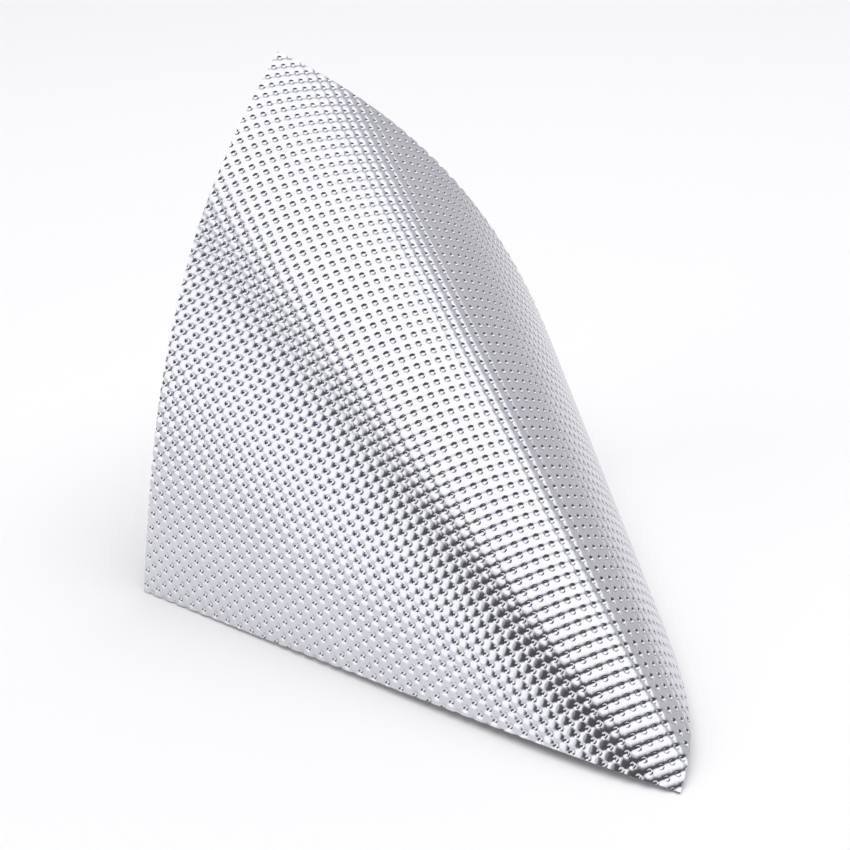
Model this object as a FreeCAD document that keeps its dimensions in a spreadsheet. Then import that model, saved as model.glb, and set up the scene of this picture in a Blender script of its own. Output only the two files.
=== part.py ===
import FreeCAD, Part
import math
import os

# Square insulating pad with an embossed aluminium face, bent over its own
# diagonal and standing like a low tent on three of its corners.
#
# Frame: millimetres, +Z up, floor at Z = 0, origin at the middle of the
# footprint. +Y runs from the low front corner to the raised back corner.
#
# The pad is one laminate: face foil, bond film, foam core, bond film and
# back foil. Every layer is a closed solid, and two neighbours share the
# surface between them.

os.makedirs("parts", exist_ok=True)

doc = FreeCAD.newDocument("EmbossedPad")

# ---------------------------------------------------------------------------
# Driving dimensions, in millimetres and degrees
# ---------------------------------------------------------------------------

sheet = doc.addObject("Spreadsheet::Sheet", "Dimensions")

DIMENSIONS = [
    # the flat, square-cut laminate
    ("pad_side", "304.8"),
    ("face_foil_thickness", "0.3"),
    ("face_film_thickness", "0.2"),
    ("foam_core_thickness", "0.6"),
    ("back_film_thickness", "0.2"),
    ("back_foil_thickness", "0.3"),
    # the bend: the straight lines of the bent sheet all run to one apex,
    # which lies past the front corner and a little to one side
    ("apex_past_centre", "305"),
    ("apex_aside", "8.5"),
    # bend per millimetre of sheet over the crest, and how far from the
    # crest it fades on each side
    ("crest_bend", "0.78"),
    ("crest_aside", "-16"),
    ("left_fade", "78.5"),
    ("right_fade", "121"),
]

row = 0
for name, value in DIMENSIONS:
    row += 1
    sheet.set("A%d" % row, name)
    sheet.set("B%d" % row, value)
    sheet.setAlias("B%d" % row, name)
doc.recompute()

pad_side = sheet.pad_side
apex_past_centre = sheet.apex_past_centre
apex_aside = sheet.apex_aside
crest_bend = math.radians(sheet.crest_bend)
crest_aside = sheet.crest_aside
left_fade = sheet.left_fade
right_fade = sheet.right_fade
pad_thickness = (
    sheet.face_foil_thickness
    + sheet.face_film_thickness
    + sheet.foam_core_thickness
    + sheet.back_film_thickness
    + sheet.back_foil_thickness
)

# ---------------------------------------------------------------------------
# The bend
# ---------------------------------------------------------------------------

# the bend is stepped in strips of this width, out to this many half
# diagonals from the crest, which covers the whole sheet
BEND_STEP = 0.5
BEND_REACH = 1.35

# the bent face is fitted through this many points along each side
GRID = 33

apex_distance = math.hypot(apex_past_centre, apex_aside)
half_diagonal = pad_side / math.sqrt(2.0)


def bend_rate(s):
    """Bend of the sheet, in radians per millimetre, at s across the crest."""
    from_crest = s - crest_aside
    fade = left_fade if from_crest < 0.0 else right_fade
    return crest_bend / (1.0 + (from_crest / fade) ** 2) ** 1.5


def sweep_lines(direction_sign, count):
    """Frames of the sheet's straight lines, stepping away from the crest.

    Each frame holds the line's direction and the sheet's inward normal.
    """
    along = FreeCAD.Vector(1, 0, 0)
    inward = FreeCAD.Vector(0, 0, 1)
    frames = [(along, inward)]
    step = direction_sign * BEND_STEP
    for index in range(count):
        middle = (index + 0.5) * step
        turn_in_sheet = 1.0 / apex_distance
        turn_inward = bend_rate(middle)
        spin = inward * turn_in_sheet + along * turn_inward
        rotation = FreeCAD.Rotation(spin, math.degrees(spin.Length * step))
        along = rotation.multVec(along)
        inward = rotation.multVec(inward)
        frames.append((along, inward))
    return frames


sweep_count = int(BEND_REACH * half_diagonal / BEND_STEP)
right_lines = sweep_lines(1.0, sweep_count)
left_lines = sweep_lines(-1.0, sweep_count)


def line_at(s):
    """Frame of the straight line that crosses the sheet at s."""
    lines = right_lines if s >= 0.0 else left_lines
    place = abs(s) / BEND_STEP
    low = min(int(place), sweep_count - 1)
    share = place - low
    low_frame = lines[low]
    high_frame = lines[low + 1]
    blended = []
    for low_vector, high_vector in zip(low_frame, high_frame):
        vector = low_vector * (1.0 - share) + high_vector * share
        vector.normalize()
        blended.append(vector)
    return blended


def bent_point(x, y, depth):
    """Place of a flat point after bending.

    x runs across the crest towards the right corner, y along it towards
    the raised corner, both from the sheet's centre. depth is measured
    inwards from the face.
    """
    from_apex_x = x - apex_aside
    from_apex_y = y + apex_past_centre
    radius = math.hypot(from_apex_x, from_apex_y)
    centre_bearing = math.atan2(-apex_aside, apex_past_centre)
    bearing = math.atan2(from_apex_x, from_apex_y) - centre_bearing
    along, inward = line_at(apex_distance * bearing)
    return along * radius + inward * depth


def square_point(a, b, depth):
    """Place of a point of the square: a from front to right, b from front to left."""
    x = (a - b) / math.sqrt(2.0)
    y = (a + b) / math.sqrt(2.0) - half_diagonal
    return bent_point(x, y, depth)


# ---------------------------------------------------------------------------
# Standing frame: the floor touches the back of three corners
# ---------------------------------------------------------------------------

front_foot = square_point(0.0, 0.0, pad_thickness)
right_foot = square_point(pad_side, 0.0, pad_thickness)
left_foot = square_point(0.0, pad_side, pad_thickness)
raised_corner = square_point(pad_side, pad_side, pad_thickness)

up = (right_foot - front_foot).cross(left_foot - front_foot)
up.normalize()
to_raised = raised_corner - front_foot
if to_raised.dot(up) < 0.0:
    up = up * -1.0
forward = to_raised - up * to_raised.dot(up)
forward.normalize()
sideways = forward.cross(up)


def standing(point):
    """Point of the bent sheet in the standing frame, measured from the front foot."""
    offset = point - front_foot
    return FreeCAD.Vector(offset.dot(sideways), offset.dot(forward), offset.dot(up))


face_points = []
outline = FreeCAD.BoundBox()
for i in range(GRID):
    line = []
    for j in range(GRID):
        a = pad_side * j / (GRID - 1)
        b = pad_side * i / (GRID - 1)
        face_point = standing(square_point(a, b, 0.0))
        back_point = standing(square_point(a, b, pad_thickness))
        line.append(face_point)
        outline.add(face_point)
        outline.add(back_point)
    face_points.append(line)

footprint_middle = FreeCAD.Vector(outline.Center.x, outline.Center.y, outline.ZMin)
for line in face_points:
    for j in range(GRID):
        line[j] = line[j] - footprint_middle

# ---------------------------------------------------------------------------
# The face of the bent sheet, and the layers under it
# ---------------------------------------------------------------------------

# the surface's own normal points into the pad, so every layer is a positive
# offset of the one above it
face_surface = Part.BSplineSurface()
face_surface.interpolate(face_points)

outer_face = doc.addObject("Part::Feature", "OuterFace")
outer_face.Label = "outer_face_surface"
outer_face.Shape = face_surface.toShape()

LAYERS = [
    ("face_foil", "face_foil_thickness"),
    ("face_bond_film", "face_film_thickness"),
    ("foam_core", "foam_core_thickness"),
    ("back_bond_film", "back_film_thickness"),
    ("back_foil", "back_foil_thickness"),
]

layer_objects = []
upper_surface = outer_face
for node_name, thickness_name in LAYERS:
    thickness = "Dimensions." + thickness_name

    layer = doc.addObject("Part::Offset", node_name)
    layer.Label = node_name
    layer.Source = upper_surface
    layer.setExpression("Value", thickness)
    layer.Fill = True
    layer_objects.append(layer)

    lower_surface = doc.addObject("Part::Offset", node_name + "_underside")
    lower_surface.Label = node_name + "_underside"
    lower_surface.Source = upper_surface
    lower_surface.setExpression("Value", thickness)
    lower_surface.Fill = False
    doc.recompute()
    upper_surface = lower_surface

# ---------------------------------------------------------------------------
# Checks and export
# ---------------------------------------------------------------------------

doc.recompute()

for obj in doc.Objects:
    for word in obj.State:
        if word in ("Invalid", "Error"):
            raise RuntimeError("%s is in state %s" % (obj.Label, word))

for layer in layer_objects:
    shape = layer.Shape
    if shape.isNull():
        raise RuntimeError("%s has no shape" % layer.Label)
    if not shape.isValid():
        raise RuntimeError("%s has an invalid shape" % layer.Label)
    if len(shape.Solids) != 1:
        raise RuntimeError("%s is not one solid" % layer.Label)
    box = shape.BoundBox
    print(
        "%-16s %8.2f mm3  x %.1f..%.1f  y %.1f..%.1f  z %.1f..%.1f"
        % (layer.Label, shape.Volume, box.XMin, box.XMax, box.YMin, box.YMax, box.ZMin, box.ZMax)
    )

for layer in layer_objects:
    layer.Shape.exportStep("parts/%s.step" % layer.Label)
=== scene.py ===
"""Foam pad with an embossed aluminium face, bent over its diagonal: the visual model.

The pad is one laminate of five bonded layers. Each layer starts as a flat
grid laid out on the dimple lattice, is trimmed to the square, gets its
thickness, is embossed, and is then bent by the same rule as the CAD part:
the sheet's straight lines all run to one apex past the low front corner.
"""

import logging
import math
from dataclasses import dataclass, field
from enum import Enum

import bmesh
import bpy
import numpy as np
from mathutils import Matrix, Vector


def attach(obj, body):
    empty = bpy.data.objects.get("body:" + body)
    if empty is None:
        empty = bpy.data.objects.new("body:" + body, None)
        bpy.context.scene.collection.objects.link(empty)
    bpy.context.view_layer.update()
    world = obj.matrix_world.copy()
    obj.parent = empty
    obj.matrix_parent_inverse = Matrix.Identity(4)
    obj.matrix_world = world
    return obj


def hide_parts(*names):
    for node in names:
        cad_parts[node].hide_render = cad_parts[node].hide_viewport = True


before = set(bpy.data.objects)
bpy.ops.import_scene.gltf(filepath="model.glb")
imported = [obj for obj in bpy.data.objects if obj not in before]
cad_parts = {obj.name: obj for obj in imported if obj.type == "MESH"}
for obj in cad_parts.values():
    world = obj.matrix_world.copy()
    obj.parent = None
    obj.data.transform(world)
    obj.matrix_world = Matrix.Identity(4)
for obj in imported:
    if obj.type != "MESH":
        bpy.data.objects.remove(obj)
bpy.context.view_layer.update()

LOG = logging.getLogger("embossed_pad")
MM = 0.001
FLAT_UV = "sheet"


class Finish(Enum):
    """The finishes of the pad's layers, by the record's material slot."""

    EMBOSSED_ALUMINIUM = "embossed_aluminium"
    BOND_FILM = "bond_film"
    FOAM = "foam"
    PLAIN_ALUMINIUM = "plain_aluminium"


# ---------------------------------------------------------------------------
# Shape of the bent sheet
# ---------------------------------------------------------------------------


@dataclass(frozen=True)
class Bend:
    """How the flat square is bent: the CAD part's driving dimensions.

    Lengths are in millimetres, and crest_bend is in degrees per millimetre. reach counts half
    diagonals, and stations counts the points on each side that find the footprint.
    """

    side: float = 304.8
    thickness: float = 1.6
    apex_past_centre: float = 305.0
    apex_aside: float = 8.5
    crest_bend: float = 0.78
    crest_aside: float = -16.0
    left_fade: float = 78.5
    right_fade: float = 121.0
    step: float = 0.5
    reach: float = 1.35
    stations: int = 33

    @property
    def half_diagonal(self) -> float:
        """Distance from the sheet's centre to a corner."""
        return self.side / math.sqrt(2.0)

    @property
    def apex_distance(self) -> float:
        """Distance from the sheet's centre to the apex of its straight lines."""
        return math.hypot(self.apex_past_centre, self.apex_aside)

    def rate(self, across: float) -> float:
        """Bend in radians per millimetre, at a place across the crest."""
        from_crest = across - self.crest_aside
        fade = self.left_fade if from_crest < 0.0 else self.right_fade
        return math.radians(self.crest_bend) / (1.0 + (from_crest / fade) ** 2) ** 1.5


class BentSheet:
    """Maps flat points of the sheet to the standing, bent pad."""

    def __init__(self, bend: Bend) -> None:
        """Works out the sheet's straight lines and stands it on three corners.

        Args:
            bend: the driving dimensions.
        """
        self.bend = bend
        right_places, right_lines = self._sweep(1.0)
        left_places, left_lines = self._sweep(-1.0)
        self.places = np.concatenate([left_places[::-1], right_places[1:]])
        self.lines = np.concatenate([left_lines[::-1], right_lines[1:]])
        self._stand()

    def _sweep(self, sign: float) -> tuple[np.ndarray, np.ndarray]:
        """Steps the line's frame away from the crest.

        Args:
            sign: 1 for the right of the sheet, -1 for the left.

        Returns:
            Places across the sheet, and at each the line's direction and inward normal.
        """
        bend = self.bend
        count = int(bend.reach * bend.half_diagonal / bend.step)
        along = Vector((1.0, 0.0, 0.0))
        inward = Vector((0.0, 0.0, 1.0))
        places = [0.0]
        rows = [list(along) + list(inward)]
        for index in range(count):
            middle = (index + 0.5) * sign * bend.step
            spin = inward / bend.apex_distance + along * bend.rate(middle)
            turn = Matrix.Rotation(spin.length * sign * bend.step, 3, spin.normalized())
            along = turn @ along
            inward = turn @ inward
            places.append((index + 1) * sign * bend.step)
            rows.append(list(along) + list(inward))
        return np.array(places), np.array(rows)

    def _from_apex(self, flat: np.ndarray) -> tuple[np.ndarray, np.ndarray]:
        """Distances from the apex, and places across the crest, of flat points."""
        bend = self.bend
        from_apex = flat + np.array([-bend.apex_aside, bend.apex_past_centre])
        radius = np.hypot(from_apex[:, 0], from_apex[:, 1])
        centre_bearing = math.atan2(-bend.apex_aside, bend.apex_past_centre)
        bearing = np.arctan2(from_apex[:, 0], from_apex[:, 1]) - centre_bearing
        return radius, bend.apex_distance * bearing

    def bend_rate(self, flat: np.ndarray) -> np.ndarray:
        """The sheet's bend at flat points, in radians per millimetre."""
        radius, across = self._from_apex(flat)
        rates = np.array([self.bend.rate(place) for place in self.places])
        return np.interp(across, self.places, rates) * self.bend.apex_distance / radius

    def _free(self, flat: np.ndarray, depth: np.ndarray) -> np.ndarray:
        """Bends flat points, before the sheet is stood up."""
        radius, across = self._from_apex(flat)
        columns = [np.interp(across, self.places, column) for column in self.lines.T]
        line = np.stack(columns, axis=1)
        along = line[:, :3] / np.linalg.norm(line[:, :3], axis=1)[:, None]
        inward = line[:, 3:] / np.linalg.norm(line[:, 3:], axis=1)[:, None]
        return along * radius[:, None] + inward * depth[:, None]

    def _stand(self) -> None:
        """Puts the backs of three corners on the floor and centres the footprint."""
        bend = self.bend
        reach = bend.half_diagonal
        corners = np.array([[0.0, -reach], [reach, 0.0], [-reach, 0.0], [0.0, reach]])
        front, right, left, raised = self._free(corners, np.full(4, bend.thickness))
        up = np.cross(right - front, left - front)
        up /= np.linalg.norm(up)
        if (raised - front) @ up < 0.0:
            up = -up
        forward = (raised - front) - up * ((raised - front) @ up)
        forward /= np.linalg.norm(forward)
        self.turn = np.stack([np.cross(forward, up), forward, up])
        self.foot = front
        self.middle = np.zeros(3)
        stations = np.linspace(0.0, bend.side, bend.stations)
        to_right, to_left = np.meshgrid(stations, stations)
        flat = self.square(to_right.ravel(), to_left.ravel())
        both = [self.place(flat, np.full(len(flat), depth)) for depth in (0.0, bend.thickness)]
        points = np.concatenate(both)
        low = points.min(axis=0)
        high = points.max(axis=0)
        self.middle = np.array([(low[0] + high[0]) / 2.0, (low[1] + high[1]) / 2.0, low[2]])

    def square(self, to_right: np.ndarray, to_left: np.ndarray) -> np.ndarray:
        """Flat points from distances along the square's two front edges."""
        across = (to_right - to_left) / math.sqrt(2.0)
        along = (to_right + to_left) / math.sqrt(2.0) - self.bend.half_diagonal
        return np.stack([across, along], axis=1)

    def place(self, flat: np.ndarray, depth: np.ndarray) -> np.ndarray:
        """Standing places of flat points.

        Args:
            flat: points across and along the crest from the sheet's centre, in millimetres.
            depth: how far under the face each point lies, in millimetres.

        Returns:
            Points in the row frame, in millimetres.
        """
        return (self._free(flat, depth) - self.foot) @ self.turn.T - self.middle


@dataclass(frozen=True)
class Embossing:
    """The square lattice of round dimples pressed into the face.

    Lengths are in millimetres, and turn is in degrees. dimple_floor is the floor's share of the
    radius, and facet is the share of the bend that the strips between rows leave out.
    """

    pitch: float = 5.578
    turn: float = -2.5
    start_across: float = 1.08
    start_along: float = -1.24
    dimple_radius: float = 1.9
    dimple_floor: float = 0.3
    dimple_depth: float = 0.55
    pillow: float = 0.19
    valley_sharpness: float = 2.4
    facet: float = 1.0

    RING_PLACES = (0.0, 0.25, 0.5, 0.75, 1.0)
    BORDER = 0.99
    SMALLEST_LENGTH = 1e-6

    def turn_matrix(self) -> np.ndarray:
        """Rotation from the lattice's axes to the sheet's, for row vectors."""
        angle = math.radians(self.turn)
        cosine = math.cos(angle)
        sine = math.sin(angle)
        return np.array([[cosine, sine], [-sine, cosine]])

    def ring_cells(self, lattice: np.ndarray) -> np.ndarray:
        """Rounds the grid's squares about each dimple into rings.

        The cell's border stays square, and the rings inside it follow the dimple's floor, wall and rim.

        Args:
            lattice: evenly spaced points, in millimetres from a dimple's centre.

        Returns:
            The same points, moved within their own cells.
        """
        centre = np.round(lattice / self.pitch) * self.pitch
        place = lattice - centre
        half = self.pitch / 2.0
        square = np.abs(place).max(axis=1) / half
        length = np.hypot(place[:, 0], place[:, 1])
        floor_radius = self.dimple_floor * self.dimple_radius
        wall_radius = (floor_radius + self.dimple_radius) / 2.0
        radii = [0.0, floor_radius, wall_radius, self.dimple_radius, half]
        rings = np.interp(square, self.RING_PLACES, radii)
        shrink = rings / np.maximum(length, self.SMALLEST_LENGTH)
        scale = np.where(square > self.BORDER, 1.0, shrink)
        return centre + place * scale[:, None]

    def to_sheet(self, lattice: np.ndarray) -> np.ndarray:
        """Flat sheet points from points measured from a dimple along the lattice."""
        start = np.array([self.start_across, self.start_along])
        return (lattice + start) @ self.turn_matrix()

    def relief(self, flat: np.ndarray, bend_rate: np.ndarray) -> np.ndarray:
        """How far the embossed face lies under its highest points.

        Args:
            flat: points across and along the crest from the sheet's centre.
            bend_rate: the sheet's bend at each point, in radians per millimetre.

        Returns:
            Depths in millimetres: a dimple in each cell, valleys along the rows of dimples, and
            flatter strips between rows, because the sheet bends most easily along them.
        """
        start = np.array([self.start_across, self.start_along])
        cells = (flat @ self.turn_matrix().T - start) / self.pitch
        place = cells - np.round(cells)
        reach = np.hypot(place[:, 0], place[:, 1]) * self.pitch / self.dimple_radius
        wall = np.clip((reach - self.dimple_floor) / (1.0 - self.dimple_floor), 0.0, 1.0)
        dimple = 0.5 + 0.5 * np.cos(math.pi * wall)
        valleys = (0.5 + 0.5 * np.cos(2.0 * math.pi * place)) ** self.valley_sharpness
        from_strip = (0.5 - np.abs(place[:, 0])) * self.pitch
        strip = 0.5 * bend_rate * ((0.5 * self.pitch) ** 2 - from_strip**2)
        return self.dimple_depth * dimple + self.pillow * valleys.sum(axis=1) + self.facet * strip


# ---------------------------------------------------------------------------
# Finishes
# ---------------------------------------------------------------------------


class NodeSheet:
    """A material's node tree, with short calls to add and join nodes."""

    PATTERN_LOW = 0.3
    PATTERN_HIGH = 0.7

    def __init__(self, name: str) -> None:
        """Starts an empty principled material.

        Args:
            name: the material's name.
        """
        self.material = bpy.data.materials.new(name)
        self.material.use_nodes = True
        self.nodes = self.material.node_tree.nodes
        self.links = self.material.node_tree.links
        self.shader = self.nodes["Principled BSDF"]

    def add(self, kind: str, **settings: object) -> bpy.types.Node:
        """Adds a node and sets its properties."""
        node = self.nodes.new(kind)
        for key, value in settings.items():
            setattr(node, key, value)
        return node

    def join(self, source: bpy.types.NodeSocket, target: bpy.types.NodeSocket) -> None:
        """Joins two sockets."""
        self.links.new(source, target)

    def sheet_place(self, stretch: tuple[float, float, float]) -> bpy.types.NodeSocket:
        """Places on the flat sheet, from the piece's own UV map.

        Args:
            stretch: scale of the pattern across, along and out of the sheet.

        Returns:
            The socket that gives the scaled place.
        """
        flat = self.add("ShaderNodeUVMap", uv_map=FLAT_UV)
        mapping = self.add("ShaderNodeMapping")
        mapping.inputs["Scale"].default_value = stretch
        self.join(flat.outputs["UV"], mapping.inputs["Vector"])
        return mapping.outputs["Vector"]

    def noise(
        self, place: bpy.types.NodeSocket, scale: float, detail: float, roughness: float = 0.5
    ) -> bpy.types.NodeSocket:
        """A noise pattern's value at a place."""
        node = self.add("ShaderNodeTexNoise")
        node.inputs["Scale"].default_value = scale
        node.inputs["Detail"].default_value = detail
        node.inputs["Roughness"].default_value = roughness
        self.join(place, node.inputs["Vector"])
        return node.outputs["Fac"]

    def between(self, value: bpy.types.NodeSocket, low: float, high: float) -> bpy.types.NodeSocket:
        """A pattern's middle range spread from low to high."""
        node = self.add("ShaderNodeMapRange")
        node.inputs["From Min"].default_value = self.PATTERN_LOW
        node.inputs["From Max"].default_value = self.PATTERN_HIGH
        node.inputs["To Min"].default_value = low
        node.inputs["To Max"].default_value = high
        self.join(value, node.inputs["Value"])
        return node.outputs["Result"]

    def tint(
        self,
        value: bpy.types.NodeSocket,
        first: tuple[float, float, float],
        second: tuple[float, float, float],
    ) -> None:
        """Colours the shader between two tints."""
        ramp = self.add("ShaderNodeValToRGB")
        ramp.color_ramp.elements[0].position = self.PATTERN_LOW
        ramp.color_ramp.elements[1].position = self.PATTERN_HIGH
        ramp.color_ramp.elements[0].color = (*first, 1.0)
        ramp.color_ramp.elements[1].color = (*second, 1.0)
        self.join(value, ramp.inputs["Fac"])
        self.join(ramp.outputs["Color"], self.shader.inputs["Base Color"])

    def bump(self, height: bpy.types.NodeSocket, distance: float, strength: float) -> None:
        """Raises the shader's surface by a pattern.

        Args:
            height: the pattern.
            distance: the pattern's full height, in metres.
            strength: share of the height that shows.
        """
        node = self.add("ShaderNodeBump")
        node.inputs["Distance"].default_value = distance
        node.inputs["Strength"].default_value = strength
        self.join(height, node.inputs["Height"])
        self.join(node.outputs["Normal"], self.shader.inputs["Normal"])


@dataclass(frozen=True)
class AluminiumFinish:
    """Rolled aluminium foil: mirror-like, with faint rolling lines and smears."""

    name: str
    first_tint: tuple[float, float, float]
    second_tint: tuple[float, float, float]
    smoothest: float
    roughest: float
    grain_height: float

    SMEAR_SCALE = 45.0
    SMEAR_DETAIL = 4.0
    ROLLING_SCALE = 2600.0
    ROLLING_DETAIL = 3.0
    ROLLING_STRETCH = (1.0, 0.04, 1.0)
    PATTERN_ROUGHNESS = 0.6
    ROLLING_SHADE = 0.012

    def material(self) -> bpy.types.Material:
        """Builds the foil's material."""
        sheet = NodeSheet(self.name)
        sheet.shader.inputs["Metallic"].default_value = 1.0
        even = sheet.sheet_place((1.0, 1.0, 1.0))
        drawn_out = sheet.sheet_place(self.ROLLING_STRETCH)
        smears = sheet.noise(even, self.SMEAR_SCALE, self.SMEAR_DETAIL, self.PATTERN_ROUGHNESS)
        rolling = sheet.noise(
            drawn_out, self.ROLLING_SCALE, self.ROLLING_DETAIL, self.PATTERN_ROUGHNESS
        )
        sheet.tint(smears, self.first_tint, self.second_tint)
        mixed = sheet.add("ShaderNodeMath", operation="ADD")
        sheet.join(sheet.between(smears, self.smoothest, self.roughest), mixed.inputs[0])
        lines = sheet.between(rolling, -self.ROLLING_SHADE, self.ROLLING_SHADE)
        sheet.join(lines, mixed.inputs[1])
        sheet.join(mixed.outputs["Value"], sheet.shader.inputs["Roughness"])
        sheet.bump(rolling, self.grain_height, 1.0)
        return sheet.material


@dataclass(frozen=True)
class FoamFinish:
    """Dark closed-cell foam, with its cells cut open at the edge."""

    name: str
    first_tint: tuple[float, float, float]
    second_tint: tuple[float, float, float]
    cell_size: float

    PATCH_SCALE = 300.0
    PATCH_DETAIL = 3.0
    ROUGHNESS = 0.85
    CELL_DEPTH = 0.5
    CELL_STRENGTH = 0.7

    def material(self) -> bpy.types.Material:
        """Builds the foam's material."""
        sheet = NodeSheet(self.name)
        place = sheet.add("ShaderNodeTexCoord").outputs["Object"]
        cells = sheet.add("ShaderNodeTexVoronoi", feature="F1")
        cells.inputs["Scale"].default_value = 1.0 / self.cell_size
        sheet.join(place, cells.inputs["Vector"])
        patches = sheet.noise(place, self.PATCH_SCALE, self.PATCH_DETAIL)
        sheet.tint(patches, self.first_tint, self.second_tint)
        sheet.shader.inputs["Roughness"].default_value = self.ROUGHNESS
        depth = self.cell_size * self.CELL_DEPTH
        sheet.bump(cells.outputs["Distance"], depth, self.CELL_STRENGTH)
        return sheet.material


@dataclass(frozen=True)
class FilmFinish:
    """Cloudy adhesive film, seen only as a thin line at the cut edge."""

    name: str
    first_tint: tuple[float, float, float]
    second_tint: tuple[float, float, float]

    CLOUD_SCALE = 180.0
    CLOUD_DETAIL = 4.0
    CLOUD_ROUGHNESS = 0.55
    SMOOTHEST = 0.35
    ROUGHEST = 0.55
    RIPPLE_HEIGHT = 0.00008
    RIPPLE_STRENGTH = 0.5

    def material(self) -> bpy.types.Material:
        """Builds the film's material."""
        sheet = NodeSheet(self.name)
        place = sheet.add("ShaderNodeTexCoord").outputs["Object"]
        clouds = sheet.noise(place, self.CLOUD_SCALE, self.CLOUD_DETAIL, self.CLOUD_ROUGHNESS)
        sheet.tint(clouds, self.first_tint, self.second_tint)
        roughness = sheet.between(clouds, self.SMOOTHEST, self.ROUGHEST)
        sheet.join(roughness, sheet.shader.inputs["Roughness"])
        sheet.bump(clouds, self.RIPPLE_HEIGHT, self.RIPPLE_STRENGTH)
        return sheet.material


# ---------------------------------------------------------------------------
# The pad's layers
# ---------------------------------------------------------------------------


@dataclass(frozen=True)
class LayerPlan:
    """How one layer is laid up: its thickness in millimetres, and its underside's share of the relief."""

    node: str
    finish: Finish
    thickness: float
    underside_relief: float
    steps_per_dimple: int


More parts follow.
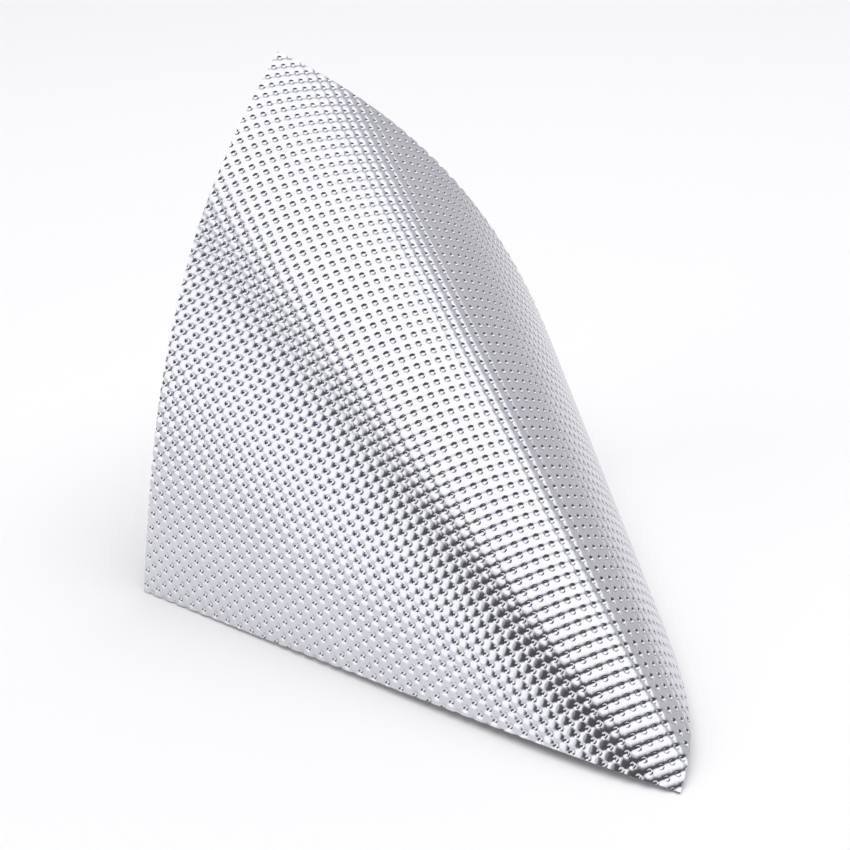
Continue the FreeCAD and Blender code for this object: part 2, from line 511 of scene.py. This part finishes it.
@dataclass
class LaminateLayer:
    """One bonded layer of the pad, embossed and bent with the others."""

    node: str
    finish: Finish
    upper_depth: float
    lower_depth: float
    upper_relief: float
    lower_relief: float
    steps_per_dimple: int
    sheet: BentSheet
    embossing: Embossing = field(default_factory=Embossing)

    SPARE_CELLS = 1.5
    NORMAL_REACH = 0.1
    TRIM_TOLERANCE = 0.0001
    PLATE_THICKNESS = 1.0
    HALF_WAY = 0.5

    def flat_grid(self) -> bmesh.types.BMesh:
        """Lays a grid out on the dimple lattice, with a grid point at each dimple's centre.

        Returns:
            A flat grid that covers the whole square, in sheet millimetres.
        """
        cover = self.sheet.bend.half_diagonal / self.embossing.pitch + self.SPARE_CELLS
        cells = math.ceil(cover)
        segments = 2 * cells * self.steps_per_dimple
        grid = bmesh.new()
        bmesh.ops.create_grid(
            grid,
            x_segments=segments,
            y_segments=segments,
            size=cells * self.embossing.pitch,
        )
        points = np.array([vert.co.xy for vert in grid.verts])
        rounded = self.embossing.ring_cells(points)
        for vert, place in zip(grid.verts, self.embossing.to_sheet(rounded)):
            vert.co.x = place[0]
            vert.co.y = place[1]
        return grid

    def trim(self, grid: bmesh.types.BMesh) -> None:
        """Cuts the grid along the square's four edges."""
        reach = self.sheet.bend.half_diagonal
        for across in (-1.0, 1.0):
            for along in (-1.0, 1.0):
                everything = grid.verts[:] + grid.edges[:] + grid.faces[:]
                bmesh.ops.bisect_plane(
                    grid,
                    geom=everything,
                    dist=self.TRIM_TOLERANCE,
                    plane_co=(across * reach, 0.0, 0.0),
                    plane_no=(across, along, 0.0),
                    clear_outer=True,
                )

    def thicken(self, grid: bmesh.types.BMesh) -> None:
        """Pulls the trimmed sheet down into a closed plate of even thickness."""
        pulled = bmesh.ops.extrude_face_region(grid, geom=grid.faces[:])
        below = [item for item in pulled["geom"] if isinstance(item, bmesh.types.BMVert)]
        bmesh.ops.translate(grid, verts=below, vec=(0.0, 0.0, -self.PLATE_THICKNESS))
        bmesh.ops.recalc_face_normals(grid, faces=grid.faces[:])

    def surface(self, flat: np.ndarray, share: np.ndarray) -> np.ndarray:
        """Standing places of flat points at a share of the layer's thickness from its top."""
        depth = self.upper_depth + (self.lower_depth - self.upper_depth) * share
        relief = self.upper_relief + (self.lower_relief - self.upper_relief) * share
        relief = relief * self.embossing.relief(flat, self.sheet.bend_rate(flat))
        return self.sheet.place(flat, depth + relief)

    def outward(self, flat: np.ndarray, share: np.ndarray) -> np.ndarray:
        """Outward directions of the layer's top and underside at flat points."""
        reach = self.NORMAL_REACH
        steps = [np.array([reach, 0.0]), np.array([0.0, reach])]
        ahead = [self.surface(flat + step, share) for step in steps]
        behind = [self.surface(flat - step, share) for step in steps]
        outward = np.cross(ahead[0] - behind[0], ahead[1] - behind[1])
        outward /= np.linalg.norm(outward, axis=1)[:, None]
        inside = self.sheet.place(flat, np.full(len(flat), self.sheet.bend.thickness))
        facing = ((self.sheet.place(flat, np.zeros(len(flat))) - inside) * outward).sum(axis=1)
        side = np.where(share > self.HALF_WAY, -1.0, 1.0)
        return outward * (np.sign(facing) * side)[:, None]

    def shape(self, mesh: bpy.types.Mesh) -> None:
        """Embosses and bends the flat plate, and keeps its flat places as a UV map.

        Args:
            mesh: the closed flat plate, its upper side at zero.
        """
        count = len(mesh.vertices)
        plate = np.empty(count * 3)
        mesh.vertices.foreach_get("co", plate)
        plate = plate.reshape(count, 3)
        flat = plate[:, :2].copy()
        share = -plate[:, 2] / self.PLATE_THICKNESS
        corners = np.empty(len(mesh.loops), dtype=np.int64)
        mesh.loops.foreach_get("vertex_index", corners)
        flat_map = mesh.uv_layers.new(name=FLAT_UV)
        flat_map.data.foreach_set("uv", (flat * MM)[corners].ravel())
        mesh.vertices.foreach_set("co", (self.surface(flat, share) * MM).ravel())
        mesh.update()
        self.set_normals(mesh, corners, flat, share)

    def set_normals(
        self, mesh: bpy.types.Mesh, corners: np.ndarray, flat: np.ndarray, share: np.ndarray
    ) -> None:
        """Gives the top and underside the smooth surface's directions, and the edge its own.

        Args:
            mesh: the bent layer.
            corners: the point at each face corner.
            flat: each point's flat place.
            share: each point's share of the layer's thickness, from its top.
        """
        sizes = np.empty(len(mesh.polygons), dtype=np.int64)
        mesh.polygons.foreach_get("loop_total", sizes)
        face_normals = np.empty(len(sizes) * 3)
        mesh.polygons.foreach_get("normal", face_normals)
        owner = np.repeat(np.arange(len(sizes)), sizes)
        starts = np.concatenate([[0], np.cumsum(sizes)[:-1]])
        lowest = np.minimum.reduceat(share[corners], starts)
        highest = np.maximum.reduceat(share[corners], starts)
        is_edge = (highest - lowest > self.HALF_WAY)[owner]
        smooth = self.outward(flat, share)[corners]
        normals = np.where(is_edge[:, None], face_normals.reshape(-1, 3)[owner], smooth)
        mesh.normals_split_custom_set(normals)

    def build(self, materials: dict[Finish, bpy.types.Material]) -> bpy.types.Object:
        """Makes the layer and puts it in the frame.

        Args:
            materials: the material of each finish.

        Returns:
            The layer's object.
        """
        grid = self.flat_grid()
        self.trim(grid)
        self.thicken(grid)
        for face in grid.faces:
            face.smooth = True
        mesh = bpy.data.meshes.new(self.node + "_layer")
        grid.to_mesh(mesh)
        grid.free()
        self.shape(mesh)
        mesh.materials.append(materials[self.finish])
        layer = bpy.data.objects.new(self.node + "_layer", mesh)
        bpy.context.scene.collection.objects.link(layer)
        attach(layer, "root")
        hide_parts(self.node)
        return layer


@dataclass
class EmbossedPad:
    """The whole pad: its layers from the face to the back."""

    bend: Bend = field(default_factory=Bend)
    plans: tuple[LayerPlan, ...] = (
        LayerPlan(
            node="face_foil",
            finish=Finish.EMBOSSED_ALUMINIUM,
            thickness=0.3,
            underside_relief=0.9,
            steps_per_dimple=8,
        ),
        LayerPlan(
            node="face_bond_film",
            finish=Finish.BOND_FILM,
            thickness=0.2,
            underside_relief=0.78,
            steps_per_dimple=4,
        ),
        LayerPlan(
            node="foam_core",
            finish=Finish.FOAM,
            thickness=0.6,
            underside_relief=0.25,
            steps_per_dimple=4,
        ),
        LayerPlan(
            node="back_bond_film",
            finish=Finish.BOND_FILM,
            thickness=0.2,
            underside_relief=0.12,
            steps_per_dimple=3,
        ),
        LayerPlan(
            node="back_foil",
            finish=Finish.PLAIN_ALUMINIUM,
            thickness=0.3,
            underside_relief=0.0,
            steps_per_dimple=3,
        ),
    )

    def materials(self) -> dict[Finish, bpy.types.Material]:
        """Builds one material for each finish."""
        return {
            Finish.EMBOSSED_ALUMINIUM: AluminiumFinish(
                name="bright embossed aluminium",
                first_tint=(0.645, 0.645, 0.68),
                second_tint=(0.68, 0.68, 0.71),
                smoothest=0.12,
                roughest=0.18,
                grain_height=0.000004,
            ).material(),
            Finish.PLAIN_ALUMINIUM: AluminiumFinish(
                name="plain aluminium back",
                first_tint=(0.60, 0.60, 0.62),
                second_tint=(0.66, 0.66, 0.67),
                smoothest=0.22,
                roughest=0.34,
                grain_height=0.00001,
            ).material(),
            Finish.FOAM: FoamFinish(
                name="dark closed-cell foam",
                first_tint=(0.020, 0.018, 0.022),
                second_tint=(0.045, 0.040, 0.048),
                cell_size=0.0002,
            ).material(),
            Finish.BOND_FILM: FilmFinish(
                name="cloudy adhesive film",
                first_tint=(0.30, 0.29, 0.29),
                second_tint=(0.42, 0.41, 0.40),
            ).material(),
        }

    def layers(self) -> list[LaminateLayer]:
        """Stacks the layers under the face, each from where the one above it ends.

        Returns:
            The layers, from the face to the back.
        """
        sheet = BentSheet(self.bend)
        stack = []
        depth = 0.0
        relief = 1.0
        for plan in self.plans:
            layer = LaminateLayer(
                node=plan.node,
                finish=plan.finish,
                upper_depth=depth,
                lower_depth=depth + plan.thickness,
                upper_relief=relief,
                lower_relief=plan.underside_relief,
                steps_per_dimple=plan.steps_per_dimple,
                sheet=sheet,
            )
            stack.append(layer)
            depth += plan.thickness
            relief = plan.underside_relief
        return stack

    def build(self) -> None:
        """Builds and places every layer."""
        materials = self.materials()
        for layer in self.layers():
            piece = layer.build(materials)
            LOG.info("built %s: %d faces", piece.name, len(piece.data.polygons))


# ---------------------------------------------------------------------------
# Studio
# ---------------------------------------------------------------------------


@dataclass(frozen=True)
class Glow:
    """A soft-edged bright area of the room, by compass bearing and height in degrees."""

    bearing: float
    half_width: float
    lowest: float
    highest: float
    softness: float
    brightness: float


@dataclass(frozen=True)
class CeilingPanel:
    """A soft-edged square panel overhead; its sizes are shares of its height."""

    across: float = 0.16
    along: float = -0.13
    half_width: float = 0.95
    half_length: float = 0.5
    softness: float = 0.22
    brightness: float = 1.5


class RoomNodes:
    """Node tree of the room's light, built up from soft-edged areas."""

    LOWEST_RISE = 0.05

    def __init__(self, world: bpy.types.World) -> None:
        """Reads the direction of each ray that leaves the scene.

        Args:
            world: the world whose background is set.
        """
        world.use_nodes = True
        self.nodes = world.node_tree.nodes
        self.links = world.node_tree.links
        self.background = self.nodes["Background"]
        place = self.nodes.new("ShaderNodeTexCoord")
        split = self.nodes.new("ShaderNodeSeparateXYZ")
        self.links.new(place.outputs["Generated"], split.inputs["Vector"])
        self.x, self.y, self.z = split.outputs
        self.bearing = self.math("DEGREES", self.math("ARCTAN2", self.x, self.y))
        self.height = self.math("DEGREES", self.math("ARCSINE", self.z))

    def math(self, operation: str, *values: bpy.types.NodeSocket | float) -> bpy.types.NodeSocket:
        """Adds a math node.

        Args:
            operation: what the node works out.
            values: its inputs, each a socket or a number.

        Returns:
            The node's result.
        """
        node = self.nodes.new("ShaderNodeMath")
        node.operation = operation
        for socket, value in zip(node.inputs, values):
            if isinstance(value, bpy.types.NodeSocket):
                self.links.new(value, socket)
            else:
                socket.default_value = value
        return node.outputs["Value"]

    def inside(
        self, value: bpy.types.NodeSocket, middle: float, half_width: float, softness: float
    ) -> bpy.types.NodeSocket:
        """One inside a span and zero outside it, with a smooth edge."""
        away = self.math("ABSOLUTE", self.math("SUBTRACT", value, middle))
        edge = self.nodes.new("ShaderNodeMapRange")
        edge.interpolation_type = "SMOOTHSTEP"
        edge.inputs["From Min"].default_value = half_width + softness
        edge.inputs["From Max"].default_value = half_width - softness
        self.links.new(away, edge.inputs["Value"])
        return edge.outputs["Result"]

    def cover(
        self, light: bpy.types.NodeSocket | float, share: bpy.types.NodeSocket, brightness: float
    ) -> bpy.types.NodeSocket:
        """Covers the light so far with an area of another brightness."""
        if not isinstance(light, bpy.types.NodeSocket):
            return self.math("MULTIPLY_ADD", share, brightness - light, light)
        change = self.math("SUBTRACT", brightness, light)
        return self.math("MULTIPLY_ADD", share, change, light)

    def glow(self, light: bpy.types.NodeSocket | float, glow: Glow) -> bpy.types.NodeSocket:
        """Adds a bright area at a bearing."""
        turned = self.math("SUBTRACT", self.bearing, glow.bearing)
        turned = self.math("WRAP", turned, 180.0, -180.0)
        sideways = self.inside(turned, 0.0, glow.half_width, glow.softness)
        middle = (glow.lowest + glow.highest) / 2.0
        half_height = (glow.highest - glow.lowest) / 2.0
        upright = self.inside(self.height, middle, half_height, glow.softness)
        return self.cover(light, self.math("MULTIPLY", sideways, upright), glow.brightness)

    def ceiling(self, light: bpy.types.NodeSocket, panel: CeilingPanel) -> bpy.types.NodeSocket:
        """Adds the panel overhead."""
        up = self.math("MAXIMUM", self.z, self.LOWEST_RISE)
        across = self.math("DIVIDE", self.x, up)
        along = self.math("DIVIDE", self.y, up)
        sideways = self.inside(across, panel.across, panel.half_width, panel.softness)
        lengthways = self.inside(along, panel.along, panel.half_length, panel.softness)
        return self.cover(light, self.math("MULTIPLY", sideways, lengthways), panel.brightness)


@dataclass
class Studio:
    """Pale floor, soft light from the room, and the camera."""

    floor_size: float = 8.0
    paper_tint: tuple[float, float, float, float] = (0.9, 0.9, 0.905, 1.0)
    paper_roughness: float = 0.9
    paper_gloss: float = 0.1
    lens: float = 72.57
    camera_place: tuple[float, float, float] = (-0.3803, -0.6247, 0.4853)
    camera_aim: tuple[float, float, float] = (-0.02714, -0.01139, 0.11224)
    camera_roll: float = -1.37
    sensor_width: float = 36.0
    room_brightness: float = 0.1
    room_tint: tuple[float, float, float, float] = (1.0, 1.0, 1.03, 1.0)
    ceiling: CeilingPanel = field(default_factory=CeilingPanel)
    glows: tuple[Glow, ...] = (
        Glow(bearing=28.0, half_width=24.0, lowest=-5.0, highest=62.0, softness=6.0, brightness=0.48),
        Glow(bearing=84.0, half_width=30.0, lowest=-5.0, highest=56.0, softness=6.0, brightness=0.7),
        Glow(bearing=-86.0, half_width=17.0, lowest=-7.0, highest=47.0, softness=8.0, brightness=1.45),
    )
    wash_height: float = 2.6
    wash_size: float = 3.0
    wash_power: float = 37.0

    def floor(self) -> None:
        """Lays the plain pale floor."""
        grid = bmesh.new()
        bmesh.ops.create_grid(grid, x_segments=1, y_segments=1, size=self.floor_size)
        mesh = bpy.data.meshes.new("floor")
        grid.to_mesh(mesh)
        grid.free()
        paper = bpy.data.materials.new("white paper")
        paper.use_nodes = True
        shader = paper.node_tree.nodes["Principled BSDF"]
        shader.inputs["Base Color"].default_value = self.paper_tint
        shader.inputs["Roughness"].default_value = self.paper_roughness
        shader.inputs["Specular IOR Level"].default_value = self.paper_gloss
        mesh.materials.append(paper)
        floor = bpy.data.objects.new("floor", mesh)
        bpy.context.scene.collection.objects.link(floor)

    def wash(self) -> None:
        """Adds the light that lifts the floor, kept out of the pad's reflections."""
        light = bpy.data.lights.new("floor wash", "AREA")
        light.shape = "SQUARE"
        light.size = self.wash_size
        light.energy = self.wash_power
        lamp = bpy.data.objects.new("floor wash", light)
        lamp.location = (0.0, 0.0, self.wash_height)
        lamp.visible_camera = False
        lamp.visible_glossy = False
        bpy.context.scene.collection.objects.link(lamp)

    def camera(self) -> None:
        """Places the camera."""
        camera_data = bpy.data.cameras.new("camera")
        camera_data.lens = self.lens
        camera_data.sensor_width = self.sensor_width
        camera = bpy.data.objects.new("camera", camera_data)
        bpy.context.scene.collection.objects.link(camera)
        towards = Vector(self.camera_aim) - Vector(self.camera_place)
        turn = towards.to_track_quat("-Z", "Y").to_matrix()
        roll = Matrix.Rotation(math.radians(self.camera_roll), 3, "Z")
        camera.matrix_world = Matrix.Translation(self.camera_place) @ (turn @ roll).to_4x4()
        bpy.context.scene.camera = camera

    def room(self) -> None:
        """Lights the room and sets plain colour handling."""
        world = bpy.data.worlds.new("soft room")
        room = RoomNodes(world)
        light = self.room_brightness
        for glow in self.glows:
            light = room.glow(light, glow)
        light = room.ceiling(light, self.ceiling)
        room.links.new(light, room.background.inputs["Strength"])
        room.background.inputs["Color"].default_value = self.room_tint
        bpy.context.scene.world = world
        bpy.context.scene.view_settings.view_transform = "Standard"

    def build(self) -> None:
        """Builds the whole studio."""
        self.room()
        self.floor()
        self.wash()
        self.camera()


def main() -> None:
    """Builds the studio and the pad."""
    logging.basicConfig(level=logging.INFO, format="%(name)s: %(message)s")
    Studio().build()
    EmbossedPad().build()


if __name__ == "__main__":
    main()
